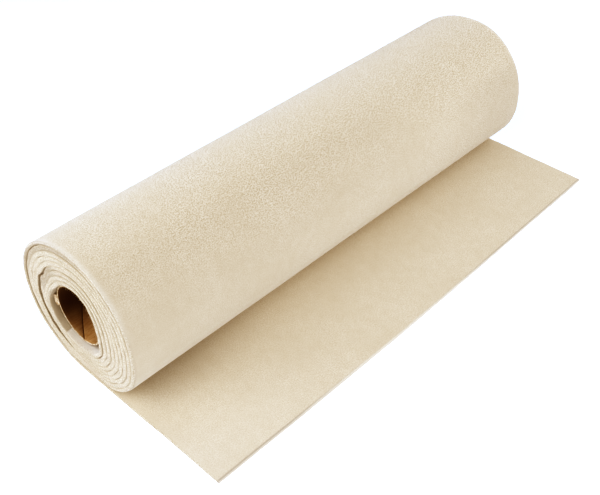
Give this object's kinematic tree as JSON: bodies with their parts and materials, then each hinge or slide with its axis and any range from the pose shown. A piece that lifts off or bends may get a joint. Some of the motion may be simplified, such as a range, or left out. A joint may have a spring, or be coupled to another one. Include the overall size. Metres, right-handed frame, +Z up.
{
  "type": "roll of felt",
  "caption": "Roll of thick cream felt wound loosely on a cardboard core, with its loose end lying flat in front.",
  "frame": {"origin": "middle of the whole object's footprint, on the surface it lies on", "axes": "+X along the roll, +Z up; the loose end reaches toward -Y"},
  "size_m": [0.452, 0.2028, 0.1173],
  "materials": {
    "felt": "matt, matted fibres, soft cut edges",
    "core_board": "matt kraft paper wound in a spiral"
  },
  "bodies": {
    "root": {"wound_felt": "felt", "loose_end": "felt", "core": "core_board"}
  },
  "joints": []
}
